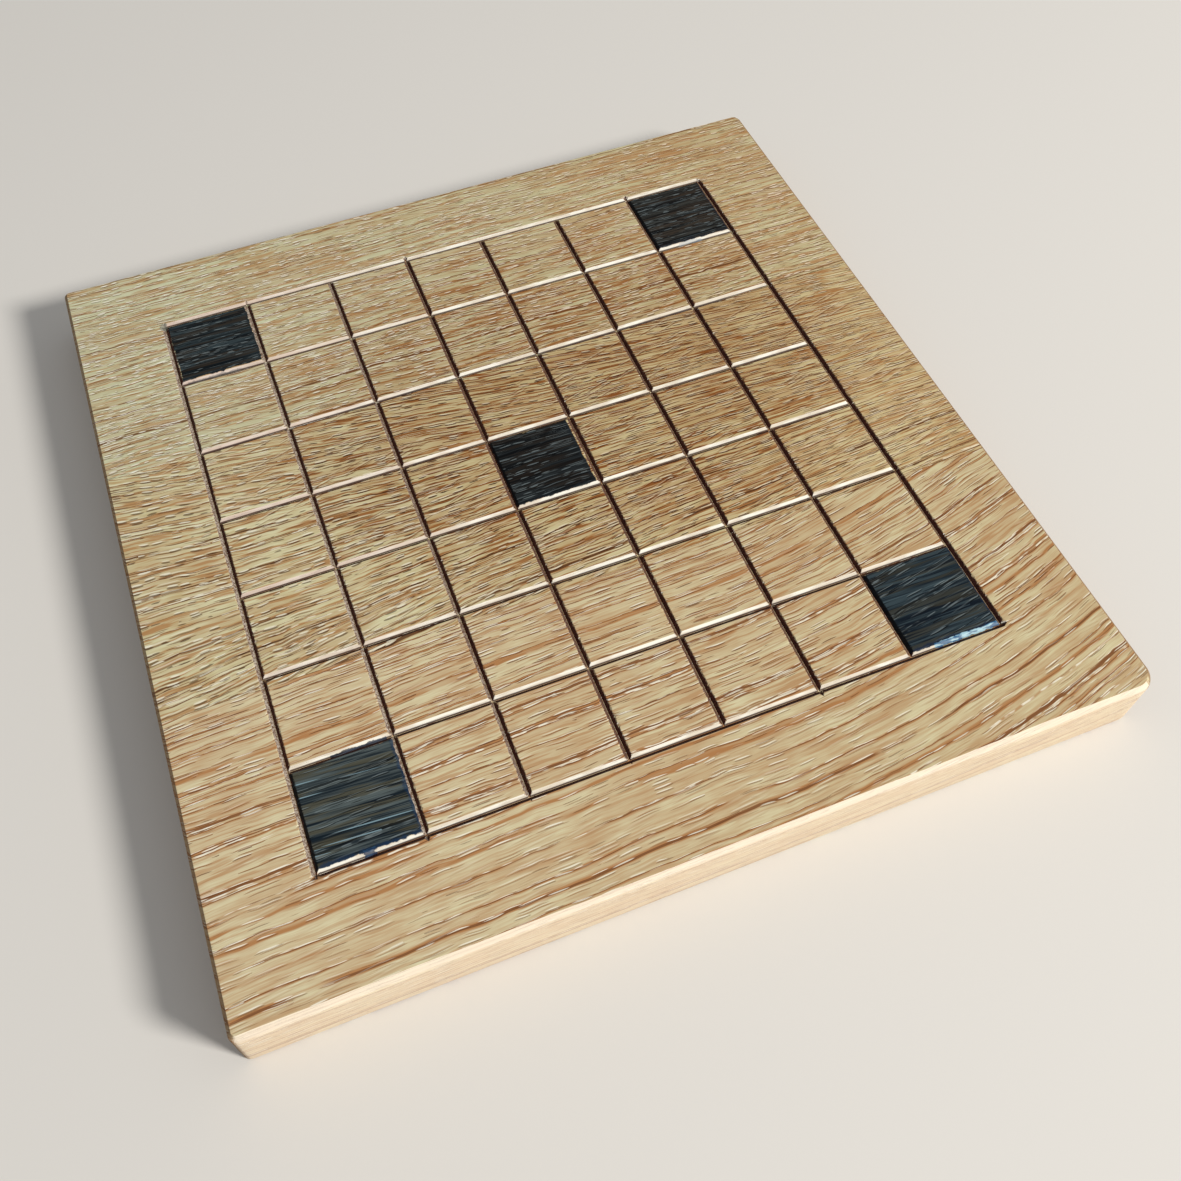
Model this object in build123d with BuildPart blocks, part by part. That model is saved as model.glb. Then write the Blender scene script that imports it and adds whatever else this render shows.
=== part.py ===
"""A seven by seven tafl board: three oak staves glued edge to edge, with the grid cut across them.

Millimetres. X runs along the grain, Y across it, Z up. The origin is the centre of the underside.
"""
import math
import os

from build123d import *

os.makedirs("parts", exist_ok=True)

# Staves and glue lines
board_length = 273.0
board_thickness = 21.0
near_stave_width = 91.0
middle_stave_width = 91.0
far_stave_width = 91.0
glue_thickness = 0.15

# Edges: the bevel planed round the top, the arris taken off round the underside, and the
# radius that sanding left on each corner in plan
top_bevel = 1.5
bottom_bevel = 0.7
near_left_radius = 2.5
near_right_radius = 6.0
far_left_radius = 2.0
far_right_radius = 3.0

# Grid: how many squares, the spacing of its lines, and how far its middle lies off the board's
squares = 7
square_pitch = 30.0
grid_shift_x = -0.2
grid_shift_y = 1.5

# Groove section: walls at 45 degrees down to a narrow floor
groove_width = 2.4
groove_floor = 0.1
point_ratio = 1.2
cutter_height = 0.3

# How far the cutter wandered off each ruled line, by line number: at the near and far end of a
# line that runs across the grain, and at the left and right end of one that runs along it
column_wander = {
    0: (-0.3, 0.35),
    1: (0.6, 0.3),
    2: (0.4, 1.4),
    3: (0.25, 0.75),
    4: (-0.65, 0.05),
    5: (-0.3, 0.1),
    6: (0.0, -0.2),
    7: (0.15, -0.05),
}
row_wander = {
    0: (0.1, 0.0),
    1: (0.9, 0.1),
    2: (1.1, 0.9),
    3: (0.4, 0.4),
    4: (-0.1, -0.8),
    5: (-0.9, -0.2),
    6: (0.7, -0.1),
    7: (-0.1, 0.0),
}

# How far a groove's point runs out past the lip of the outer groove that it meets. Most stop
# just inside that lip, and the lines named here ran on
usual_overrun = -0.3
near_overrun = {0: 0.2, 1: 0.9, 2: 0.3, 3: 0.3, 5: 0.9}
far_overrun = {0: 0.3, 1: 0.5, 3: 0.9, 6: 1.1}
right_overrun = {0: 1.0, 1: 0.4}

# Sizes that follow from the ones above
board_width = near_stave_width + middle_stave_width + far_stave_width + 2 * glue_thickness
near_edge = -board_width / 2
near_joint = near_edge + near_stave_width
middle_start = near_joint + glue_thickness
far_joint = middle_start + middle_stave_width
far_start = far_joint + glue_thickness
far_edge = board_width / 2
grid_reach = squares * square_pitch / 2
groove_half = groove_width / 2
floor_half = groove_floor / 2
groove_depth = groove_half - floor_half


def ruled_place(line, shift):
    """Where line number `line` was ruled, measured from the board's middle."""
    return shift - grid_reach + line * square_pitch


def column_ends(line):
    """The two points of the groove that runs across the grain at this line number."""
    near_wander, far_wander = column_wander.get(line, (0, 0))
    reach = grid_reach + groove_half
    x = ruled_place(line, grid_shift_x)
    near_y = grid_shift_y - reach - near_overrun.get(line, usual_overrun)
    far_y = grid_shift_y + reach + far_overrun.get(line, usual_overrun)
    return (x + near_wander, near_y), (x + far_wander, far_y)


def row_ends(line):
    """The two points of the groove that runs along the grain at this line number."""
    left_wander, right_wander = row_wander.get(line, (0, 0))
    reach = grid_reach + groove_half
    y = ruled_place(line, grid_shift_y)
    left_x = grid_shift_x - reach - usual_overrun
    right_x = grid_shift_x + reach + right_overrun.get(line, usual_overrun)
    return (left_x, y + left_wander), (right_x, y + right_wander)


def groove_plane(start, end):
    """The plane on the board's top with its middle halfway along the groove and X along it."""
    run = (end[0] - start[0], end[1] - start[1], 0)
    middle = ((start[0] + end[0]) / 2, (start[1] + end[1]) / 2, board_thickness)
    return Plane(origin=middle, x_dir=run, z_dir=(0, 0, 1))


def groove_outline(straight_half, half_width):
    """The corners of a long bar, drawn to a point at both ends."""
    point = straight_half + point_ratio * half_width
    return [
        (-point, 0),
        (-straight_half, -half_width),
        (straight_half, -half_width),
        (point, 0),
        (straight_half, half_width),
        (-straight_half, half_width),
    ]


# The glued panel, still whole: its plan, the four rounded corners, the bevels and the grooves
with BuildPart() as panel:
    with BuildSketch():
        Rectangle(board_length, board_width)
    extrude(amount=board_thickness)

    corner_radii = {
        (-1, -1): near_left_radius,
        (1, -1): near_right_radius,
        (-1, 1): far_left_radius,
        (1, 1): far_right_radius,
    }
    for (x_side, y_side), radius in corner_radii.items():
        corner = Vertex(x_side * board_length / 2, y_side * board_width / 2, 0)
        fillet(panel.edges().filter_by(Axis.Z).sort_by_distance(corner)[0], radius=radius)

    chamfer(panel.faces().sort_by(Axis.Z)[-1].edges(), length=top_bevel)
    chamfer(panel.faces().sort_by(Axis.Z)[0].edges(), length=bottom_bevel)

    lines = range(squares + 1)
    for start, end in [column_ends(line) for line in lines] + [row_ends(line) for line in lines]:
        top = groove_plane(start, end)
        straight_half = math.dist(start, end) / 2 - point_ratio * groove_half
        with BuildSketch(top.offset(-groove_depth)):
            Polygon(*groove_outline(straight_half, floor_half), align=None)
        with BuildSketch(top.offset(cutter_height)):
            Polygon(*groove_outline(straight_half, groove_half + cutter_height), align=None)
        loft(ruled=True, mode=Mode.SUBTRACT)

# Each stave and each glue line is the slice of the panel between its own two long faces
slices = {
    "near_stave": (near_edge, near_joint),
    "near_glue_line": (near_joint, middle_start),
    "middle_stave": (middle_start, far_joint),
    "far_glue_line": (far_joint, far_start),
    "far_stave": (far_start, far_edge),
}
for name, (low_y, high_y) in slices.items():
    slice_plane = Plane(origin=(0, (low_y + high_y) / 2, 0))
    with BuildPart() as piece:
        add(panel.part)
        with BuildSketch(slice_plane):
            Rectangle(board_length, high_y - low_y)
        extrude(amount=board_thickness, mode=Mode.INTERSECT)
    piece.part.label = name
    export_step(piece.part, f"parts/{name}.step")
    print(f"{name}: {piece.part.volume / 1000:.1f} cm3 in {len(piece.solids())} solid")
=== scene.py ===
"""The looks of a tafl board: three oak staves glued edge to edge, a hand-cut grid and five stained squares.

The scene is in metres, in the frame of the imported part. Sizes in the classes are in millimetres.
"""
import logging
import math
from dataclasses import dataclass
from enum import Enum
from typing import Callable, Iterator

import bmesh
import bpy
import numpy as np
from mathutils import Matrix, Vector


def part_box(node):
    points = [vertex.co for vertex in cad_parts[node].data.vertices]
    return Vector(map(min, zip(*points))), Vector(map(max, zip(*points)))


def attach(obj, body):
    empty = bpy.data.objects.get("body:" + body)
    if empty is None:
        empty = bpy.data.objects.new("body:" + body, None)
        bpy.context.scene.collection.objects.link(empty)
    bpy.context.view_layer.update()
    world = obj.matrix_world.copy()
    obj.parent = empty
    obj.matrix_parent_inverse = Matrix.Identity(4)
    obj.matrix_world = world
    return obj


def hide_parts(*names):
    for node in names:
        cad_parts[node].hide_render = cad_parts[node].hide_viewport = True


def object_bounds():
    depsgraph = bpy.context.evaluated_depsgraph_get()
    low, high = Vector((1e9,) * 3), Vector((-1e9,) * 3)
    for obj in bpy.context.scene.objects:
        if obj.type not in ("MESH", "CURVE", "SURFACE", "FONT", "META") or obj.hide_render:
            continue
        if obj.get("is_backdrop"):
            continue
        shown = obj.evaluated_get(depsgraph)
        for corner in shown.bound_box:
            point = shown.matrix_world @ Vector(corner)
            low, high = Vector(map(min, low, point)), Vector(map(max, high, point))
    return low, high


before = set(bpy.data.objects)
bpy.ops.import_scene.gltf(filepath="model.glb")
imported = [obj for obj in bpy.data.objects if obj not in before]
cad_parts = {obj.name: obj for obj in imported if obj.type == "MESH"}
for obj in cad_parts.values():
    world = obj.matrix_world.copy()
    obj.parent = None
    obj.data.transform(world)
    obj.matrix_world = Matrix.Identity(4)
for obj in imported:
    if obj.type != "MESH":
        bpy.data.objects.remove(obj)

Span = tuple[float, float]
Place = tuple[float, float, float]
Row = tuple[float, ...]
Array = np.ndarray
Colour = tuple[float, float, float]

MM = 0.001

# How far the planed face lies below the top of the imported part's box, and how far from the
# board's middle the flat face gives way to the bevel, in millimetres
FACE_DOWN = 0.06
RIM = 134.0

# The waves that a stain's border strays by, and linear colours of the darkest ink and of handling
SMEAR_WAVE: Span = (2.5, 2.5)
INKED_PORE: Colour = (0.002, 0.003, 0.004)
INKED_LIP: Colour = (0.002, 0.003, 0.005)
HANDLED_TINT: Colour = (0.80, 0.73, 0.64)

log = logging.getLogger("tafl_board")


def srgb(*screen: int) -> Colour:
    """Turns a colour as it looks on screen into the linear colour that a shader takes.

    Args:
        screen: Red, green and blue, 0 to 255.

    Returns:
        The linear red, green and blue, 0 to 1.
    """
    def linear(value: float) -> float:
        """Linear light of one channel from 0 to 1."""
        return value / 12.92 if value <= 0.04045 else ((value + 0.055) / 1.055) ** 2.4

    return tuple(linear(value / 255) for value in screen)


def joined(operation: str) -> Callable[["Wire", "Wire | float"], "Wire"]:
    """A method that joins this value and another by one Math node."""
    return lambda self, other: self.math(operation, self, other)


class Wire:
    """A socket of a node tree that adds Math nodes when it is used in an expression."""

    __add__ = joined("ADD")
    __sub__ = joined("SUBTRACT")
    __mul__ = joined("MULTIPLY")
    __truediv__ = joined("DIVIDE")
    __pow__ = joined("POWER")
    at_least = joined("MAXIMUM")

    def __init__(self, graph: "Graph", socket: bpy.types.NodeSocket) -> None:
        """Keeps the tree and the output socket that the value comes from."""
        self.graph = graph
        self.socket = socket

    def math(self, operation: str, first: "Wire | float", second: "Wire | float" = 0.0,
             clamp: bool = False) -> "Wire":
        """Adds one Math node."""
        settings = {"operation": operation, "use_clamp": clamp}
        return self.graph.node("ShaderNodeMath", settings, {0: first, 1: second})

    def __rsub__(self, other: float) -> "Wire":
        """A number less this value."""
        return self.math("SUBTRACT", other, self)

    def __abs__(self) -> "Wire":
        """The size of this value without its sign."""
        return self.math("ABSOLUTE", self)

    def fraction(self) -> "Wire":
        """The part after the decimal point."""
        return self.math("FRACT", self)

    def beside(self, output: str) -> "Wire":
        """Another output of the node that this value comes from."""
        return Wire(self.graph, self.socket.node.outputs[output])

    def clamped(self) -> "Wire":
        """This value held between 0 and 1."""
        return self.math("ADD", self, clamp=True)

    def rise(self, start: float, end: float) -> "Wire":
        """A smooth step from 0 at start to 1 at end; start may be the larger.

        Args:
            start: The value at which the step is 0.
            end: The value at which the step is 1.

        Returns:
            The step, from 0 to 1.
        """
        values = {"Value": self, "From Min": min(start, end), "From Max": max(start, end),
                  "To Min": float(start > end), "To Max": float(start <= end)}
        return self.graph.node("ShaderNodeMapRange", {"interpolation_type": "SMOOTHSTEP"}, values)

    def window(self, low: float, high: float, soft: float) -> "Wire":
        """1 between low and high, fading to 0 over soft outside them."""
        return self.rise(low - soft, low) * self.rise(high + soft, high)


class Graph:
    """The node tree of one material, which grows by one node at a time."""

    def __init__(self, name: str) -> None:
        """Makes an empty material with its output and its surface shader."""
        self.material = bpy.data.materials.new(name)
        self.material.use_nodes = True
        self.tree = self.material.node_tree
        self.tree.nodes.clear()
        self.output = self.tree.nodes.new("ShaderNodeOutputMaterial")

    def node(self, kind: str, settings: dict | None = None, inputs: dict | None = None,
             output: int | str = 0) -> Wire:
        """Adds any node.

        Args:
            kind: The node's type.
            settings: Its properties by name.
            inputs: Values or wires by socket name or number.
            output: The socket whose value is returned.

        Returns:
            The chosen output as a wire.
        """
        added = self.tree.nodes.new(kind)
        for name, value in (settings or {}).items():
            setattr(added, name, value)
        for name, value in (inputs or {}).items():
            socket = added.inputs[name]
            if isinstance(value, Wire):
                self.tree.links.new(value.socket, socket)
            else:
                socket.default_value = value
        return Wire(self, added.outputs[output])

    @staticmethod
    def rgba(colour: Wire | Colour) -> Wire | tuple[float, ...]:
        """A colour with its alpha, unless it is a wire."""
        return colour if isinstance(colour, Wire) else (*colour, 1.0)

    def mix(self, factor: Wire | float, first: Wire | Colour, second: Wire | Colour,
            blend: str = "MIX") -> Wire:
        """Mixes two colours, where a factor of 0 gives the first and 1 the second."""
        settings = {"data_type": "RGBA", "blend_type": blend, "clamp_factor": True}
        return self.node("ShaderNodeMix", settings, {0: factor, 6: self.rgba(first), 7: self.rgba(second)}, 2)

    def layered(self, colour: Wire, *layers: tuple[Wire, Wire | Colour]) -> Wire:
        """Lays more colours over a colour in turn, each with the wire that says where it covers."""
        for cover, layer in layers:
            colour = self.mix(cover, colour, layer)
        return colour

    def vector(self, x: Wire, y: Wire, z: Wire) -> Wire:
        """Joins three numbers into a vector."""
        return self.node("ShaderNodeCombineXYZ", {}, {0: x, 1: y, 2: z})

    def scaled(self, vector: Wire, scale: Place, shift: Place = (0.0, 0.0, 0.0)) -> Wire:
        """Scales a vector along each axis and then shifts it."""
        settings = {"operation": "MULTIPLY_ADD"}
        return self.node("ShaderNodeVectorMath", settings, {0: vector, 1: scale, 2: shift})

    def noise(self, vector: Wire, wave: Span, shift: float = 0.0, detail: float = 2.0,
              roughness: float = 0.5) -> Wire:
        """Smooth noise of about 0.5, longer along the grain than across it.

        Args:
            vector: Where it is read, in millimetres.
            wave: How long a wave is along X, and across it.
            shift: Moves it to another, unrelated stretch.
            detail: How many finer layers are added.
            roughness: How strong they are.

        Returns:
            The noise, from 0 to 1.
        """
        along, across = 1 / wave[0], 1 / wave[1]
        place = self.scaled(vector, (along, across, across), (shift, shift, shift))
        values = {"Vector": place, "Scale": 1.0, "Detail": detail, "Roughness": roughness}
        return self.node("ShaderNodeTexNoise", {"noise_dimensions": "3D"}, values)

    def place(self) -> Wire:
        """The Object coordinates in millimetres."""
        coordinates = self.node("ShaderNodeTexCoord", {}, {}, "Object")
        return self.scaled(coordinates, (1 / MM, 1 / MM, 1 / MM))

    def facing(self) -> tuple[Wire, Wire, Wire]:
        """The three parts of the flat normal, which tell the walls of a groove apart."""
        return self.split(self.node("ShaderNodeNewGeometry", {}, {}, "True Normal"))

    def split(self, vector: Wire) -> tuple[Wire, Wire, Wire]:
        """The three parts of a vector."""
        parts = self.tree.nodes.new("ShaderNodeSeparateXYZ")
        self.tree.links.new(vector.socket, parts.inputs[0])
        return tuple(Wire(self, parts.outputs[index]) for index in range(3))

    def finish(self, colour: Wire | Colour, roughness: Wire | float, normal: Wire | None = None,
               specular: float = 0.5) -> bpy.types.Material:
        """Adds the surface shader and links it to the output.

        Args:
            colour: The base colour.
            roughness: How matt the surface is.
            normal: The bumped normal, if any.
            specular: The specular level.

        Returns:
            The finished material.
        """
        values = {"Base Color": self.rgba(colour), "Roughness": roughness, "Specular IOR Level": specular}
        if normal is not None:
            values["Normal"] = normal
        shader = self.node("ShaderNodeBsdfPrincipled", {}, values)
        self.tree.links.new(shader.socket, self.output.inputs["Surface"])
        return self.material


class Wobble:
    """A smooth, seeded unevenness along one line, between -1 and 1."""

    COUNT = 1024
    MIDDLE = 500.0

    def __init__(self, seed: int, period: float) -> None:
        """Draws the random heights, one for each period in millimetres."""
        self.heights = np.random.default_rng(seed).uniform(-1.0, 1.0, self.COUNT)
        self.period = period

    def at(self, place: Array | float) -> Array:
        """The unevenness at each place, given in millimetres along the line."""
        steps = np.asarray(place, float) / self.period + self.MIDDLE
        whole = np.floor(steps).astype(int)
        part = steps - whole
        ease = part * part * (3 - 2 * part)
        low = self.heights[whole % self.COUNT]
        high = self.heights[(whole + 1) % self.COUNT]
        return low + (high - low) * ease


@dataclass(frozen=True)
class Groove:
    """One V groove of the grid: its centre line and the two points that it ends in."""

    low_place: float
    high_place: float
    low_point: float
    high_point: float
    half: float
    point_ratio: float = 1.2

    def place(self, along: Array | float) -> Array:
        """Where the centre line lies across, at each distance along."""
        lean = (self.high_place - self.low_place) / (self.high_point - self.low_point)
        return self.low_place + lean * (np.asarray(along) - self.low_point)

    def half_width(self, along: Array) -> Array:
        """Half the groove's width at each distance along, less where it runs to a point."""
        reach = np.minimum(along - self.low_point, self.high_point - along)
        return np.clip(reach / self.point_ratio, 0.0, self.half)


@dataclass(frozen=True)
class Grid:
    """The hand-cut grid: where its lines were ruled and how the cutter strayed from them.

    Line by line, a wander is how far a groove's low and high end lie off the ruled line, and an
    overrun is how far its point runs past the outer lip.
    """

    squares: int = 7
    pitch: float = 30.0
    shift_x: float = -0.2
    shift_y: float = 1.5
    groove_half: float = 1.2
    groove_depth: float = 1.15
    column_wander: tuple[Span, ...] = ((-0.3, 0.35), (0.6, 0.3), (0.4, 1.4), (0.25, 0.75),
                                       (-0.65, 0.05), (-0.3, 0.1), (0.0, -0.2), (0.15, -0.05))
    row_wander: tuple[Span, ...] = ((0.1, 0.0), (0.9, 0.1), (1.1, 0.9), (0.4, 0.4),
                                    (-0.1, -0.8), (-0.9, -0.2), (0.7, -0.1), (-0.1, 0.0))
    near_overrun: Row = (0.2, 0.9, 0.3, 0.3, -0.3, 0.9, -0.3, -0.3)
    far_overrun: Row = (0.3, 0.5, -0.3, 0.9, -0.3, -0.3, 1.1, -0.3)
    left_overrun: Row = (-0.3,) * 8
    right_overrun: Row = (1.0, 0.4, -0.3, -0.3, -0.3, -0.3, -0.3, -0.3)

    @property
    def reach(self) -> float:
        """From the grid's middle to the outer lip of its outer groove."""
        return self.squares * self.pitch / 2 + self.groove_half

    def ruled(self, line: int, shift: float) -> float:
        """Where a line was ruled, from the board's middle."""
        return shift + (line - self.squares / 2) * self.pitch

    def _cut(self, shifts: Span, wander: tuple[Span, ...], overruns: tuple[Row, Row]) -> list[Groove]:
        """The grooves of one direction.

        Args:
            shifts: How far the grid's middle lies off the board's, across the grooves and along.
            wander: How far each groove strayed at its two ends.
            overruns: How far each low point and each high point runs past the outer lip.

        Returns:
            One groove for each line.
        """
        low_lip, high_lip = shifts[1] - self.reach, shifts[1] + self.reach
        grooves = []
        for line, ((low, high), under, over) in enumerate(zip(wander, *overruns)):
            place = self.ruled(line, shifts[0])
            points = (low_lip - under, high_lip + over)
            grooves.append(Groove(place + low, place + high, *points, self.groove_half))
        return grooves

    def columns(self) -> list[Groove]:
        """The grooves that run across the grain, from the left."""
        overruns = (self.near_overrun, self.far_overrun)
        return self._cut((self.shift_x, self.shift_y), self.column_wander, overruns)

    def rows(self) -> list[Groove]:
        """The grooves that run along the grain, from the near side."""
        overruns = (self.left_overrun, self.right_overrun)
        return self._cut((self.shift_y, self.shift_x), self.row_wander, overruns)

    def depth(self, x: Array, y: Array) -> Array:
        """How deep the grooves are cut below the playing face.

        Args:
            x: Places along the grain.
            y: Places across it.

        Returns:
            Depths, 0 between the grooves.
        """
        deepest = np.zeros_like(x)
        for along, across, grooves in ((y, x, self.columns()), (x, y, self.rows())):
            for groove in grooves:
                cut = groove.half_width(along) - np.abs(across - groove.place(along))
                deepest = np.maximum(deepest, np.clip(cut, 0.0, self.groove_depth))
        return deepest


@dataclass(frozen=True)
class Panel:
    """The glued panel's outline and edges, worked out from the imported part's box."""

    length: float
    width: float
    thickness: float
    near_radii: Span = (2.5, 6.0)
    far_radii: Span = (2.0, 3.0)
    bevel: float = 1.1
    near_bevel: float = 1.5
    lip: float = 0.3
    near_wave: float = 0.24
    least_reach: float = 0.15

    @staticmethod
    def from_frame() -> "Panel":
        """Reads the panel's length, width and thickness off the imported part."""
        low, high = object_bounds()
        size = (high - low) / MM
        return Panel(round(size.x, 3), round(size.y, 3), round(size.z, 3))

    def radius(self, x_side: int, y_side: int) -> float:
        """The radius in plan of the corner on these sides, each -1 or 1."""
        return (self.far_radii if y_side > 0 else self.near_radii)[x_side > 0]

    def flat_inset(self, y_side: int = 0) -> float:
        """How far the flat face's rim lies inside the outline: 0 for an end, -1 near, 1 far."""
        return (self.near_bevel if y_side < 0 else self.bevel) + self.lip

    def corner_reach(self, x_side: int, y_side: int, rim: int = 0) -> float:
        """How far in from a rim of the flat face the rounding of a corner starts."""
        return max(self.radius(x_side, y_side) - self.flat_inset(rim), self.least_reach)

    def rounded(self, x: Array, y: Array) -> tuple[Array, Array]:
        """Bends the square corners of the flat face round to their radius.

        Args:
            x: Places along the grain.
            y: Places across it.

        Returns:
            The moved places.
        """
        for x_side in (-1, 1):
            for y_side in (-1, 1):
                radius = self.radius(x_side, y_side)
                centre_x = self.length / 2 - radius
                centre_y = self.width / 2 - radius
                reach_x = self.corner_reach(x_side, y_side)
                reach_y = self.corner_reach(x_side, y_side, y_side)
                u = (x * x_side - centre_x) / reach_x
                v = (y * y_side - centre_y) / reach_y
                inside = (u > 0) & (v > 0)
                u, v = np.clip(u, 0, 1), np.clip(v, 0, 1)
                x = np.where(inside, x_side * (centre_x + reach_x * u * np.sqrt(1 - v * v / 2)), x)
                y = np.where(inside, y_side * (centre_y + reach_y * v * np.sqrt(1 - u * u / 2)), y)
        return x, y

    def outward(self, x: float, y: float) -> tuple[Vector, Vector, float]:
        """What a point near the outline belongs to.

        Args:
            x: The point's place along the grain.
            y: Its place across the grain.

        Returns:
            The foot of the ray to the outline, the ray's direction, and the distance along it.
        """
        x_side = 1 if x > 0 else -1
        y_side = 1 if y > 0 else -1
        radius = self.radius(x_side, y_side)
        centre = Vector((x_side * (self.length / 2 - radius), y_side * (self.width / 2 - radius)))
        over_x = (x - centre.x) * x_side
        over_y = (y - centre.y) * y_side
        if over_x > 1e-6 and over_y > 1e-6:
            return centre, (Vector((x, y)) - centre).normalized(), radius
        if self.length / 2 - abs(x) < self.width / 2 - abs(y):
            return Vector((centre.x, y)), Vector((x_side, 0.0)), radius
        return Vector((x, centre.y)), Vector((0.0, y_side)), radius


@dataclass(frozen=True)
class EdgeRing:
    """One line of the profile that runs round the panel's edge.

    bevel_in and bevel_down are shares of the bevel; inset and down are millimetres.
    """

    down: float = 0.0
    inset: float = 0.0
    bevel_in: float = 0.0
    bevel_down: float = 0.0


@dataclass(frozen=True)
class Tear:
    """How the wood tore where the grooves cross the grain, in millimetres."""

    fray: float = 0.14
    bite: float = 0.3
    bite_from: float = 0.93
    dent: float = 0.10
    wall: float = 0.07
    band: float = 0.05


@dataclass
class PanelSlice:
    """A stave or a glue line: the slice of the grooved panel between two long faces."""

    name: str
    node: str
    panel: Panel
    grid: Grid
    seed: int
    sunk: float = 0.03
    planed_off: float = 0.03
    headroom: float = 0.005
    pitch_along: float = 2.3
    pitch_across: float = 0.4
    joint_gap: float = 0.12
    line_gap: float = 0.1
    touch: float = 0.01
    wave_reach: float = 4.5
    smooth_degrees: float = 24.0
    tear: Tear = Tear()
    offsets: Row = (-1.75, -1.2, -0.85, -0.45, -0.06, 0.06, 0.45, 0.85, 1.2, 1.75)

    def __post_init__(self) -> None:
        """Takes the slice's two long faces from the node that it stands for."""
        low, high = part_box(self.node)
        self.low_y = low[1] / MM
        self.high_y = high[1] / MM
        self.outer_near = abs(self.low_y + self.panel.width / 2) < self.touch
        self.outer_far = abs(self.high_y - self.panel.width / 2) < self.touch

    def _lines(self, knots: list[Span], pitch: float) -> Array:
        """Fills in straight mesh lines between the given ones.

        Args:
            knots: Each line's place at the panel's low end and at its high end.
            pitch: The widest gap that is left.

        Returns:
            An array with the two places of every line.
        """
        filled = [knots[0]]
        for before, after in zip(knots, knots[1:]):
            gap = max(after[0] - before[0], after[1] - before[1])
            count = max(1, math.ceil(gap / pitch))
            for step in range(1, count + 1):
                share = step / count
                filled.append(tuple(a + (b - a) * share for a, b in zip(before, after)))
        return np.array(filled)

    def _x_lines(self) -> Array:
        """The mesh lines that run across the grain, denser at the grooves and the corners."""
        end = self.panel.width / 2
        rim = self.panel.length / 2 - self.panel.flat_inset()
        knots = [(-rim, -rim)]
        knots += [(place, place) for place in self._corner_places(-1, -rim)]
        for groove in self.grid.columns():
            low, high = float(groove.place(-end)), float(groove.place(end))
            knots += [(low + offset, high + offset) for offset in self.offsets]
        knots += [(place, place) for place in reversed(self._corner_places(1, rim))]
        knots.append((rim, rim))
        return self._lines(knots, self.pitch_along)

    def _corner_places(self, x_side: int, rim: float) -> list[float]:
        """Where mesh lines go beside a corner so that it can be rounded, from the rim inwards."""
        y_side = -1 if self.outer_near else 1
        if not (self.outer_near or self.outer_far):
            return []
        reach = self.panel.corner_reach(x_side, y_side)
        return [rim - x_side * reach * share for share in (0.12, 0.3, 0.5, 0.72, 1.0)]

    def _y_lines(self) -> Array:
        """The mesh lines that run along the grain, kept apart from the slice's own faces."""
        end = self.panel.length / 2
        low = self.low_y + (self.panel.flat_inset(-1) if self.outer_near else 0.0)
        high = self.high_y - (self.panel.flat_inset(1) if self.outer_far else 0.0)
        fixed = [low]
        if self.outer_near:
            fixed += [low + 0.7 * share for share in (0.3, 0.6, 1.0)]
            fixed += [low + self.wave_reach * share for share in (0.4, 0.7, 1.0)]
        knots = [(place, place) for place in fixed]
        lowest, highest = low + self.joint_gap, high - self.joint_gap
        for groove in self.grid.rows():
            for offset in self.offsets:
                ends = [float(groove.place(side * end)) + offset for side in (-1, 1)]
                if max(ends) < lowest or min(ends) > highest:
                    continue
                held = tuple(min(max(place, lowest), highest) for place in ends)
                if min(held[0] - knots[-1][0], held[1] - knots[-1][1]) >= self.line_gap:
                    knots.append(held)
        if self.outer_far:
            knots += [(high - 1.6 * share, high - 1.6 * share) for share in (1.0, 0.75, 0.5, 0.25)]
        knots.append((high, high))
        return self._lines(knots, self.pitch_across)

    def _crossings(self, x_lines: Array, y_lines: Array) -> tuple[Array, Array]:
        """Where every line across meets every line along.

        Args:
            x_lines: The lines across the grain.
            y_lines: The lines along the grain.

        Returns:
            The x and the y of each meeting point, with a row for each line along.
        """
        x_middle, x_lean = x_lines.mean(1), (x_lines[:, 1] - x_lines[:, 0]) / self.panel.width
        y_middle, y_lean = y_lines.mean(1), (y_lines[:, 1] - y_lines[:, 0]) / self.panel.length
        x = (x_middle[None, :] + x_lean[None, :] * y_middle[:, None]) / (1 - np.outer(y_lean, x_lean))
        y = y_middle[:, None] + y_lean[:, None] * x
        return x, y

    def _drawn_in(self, across: Array, along: Array, grooves: list[Groove]) -> Array:
        """Draws the mesh lines of each groove together where the groove runs to a point.

        Args:
            across: Places across the grooves.
            along: Places along the grooves.
            grooves: The grooves of one direction.

        Returns:
            The moved places across them.
        """
        for groove in grooves:
            middle = groove.place(along)
            offset = across - middle
            share = np.clip(groove.half_width(along) / groove.half, 0.3, 1.0)
            across = np.where(np.abs(offset) <= groove.half + self.touch, middle + offset * share, across)
        return across

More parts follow.
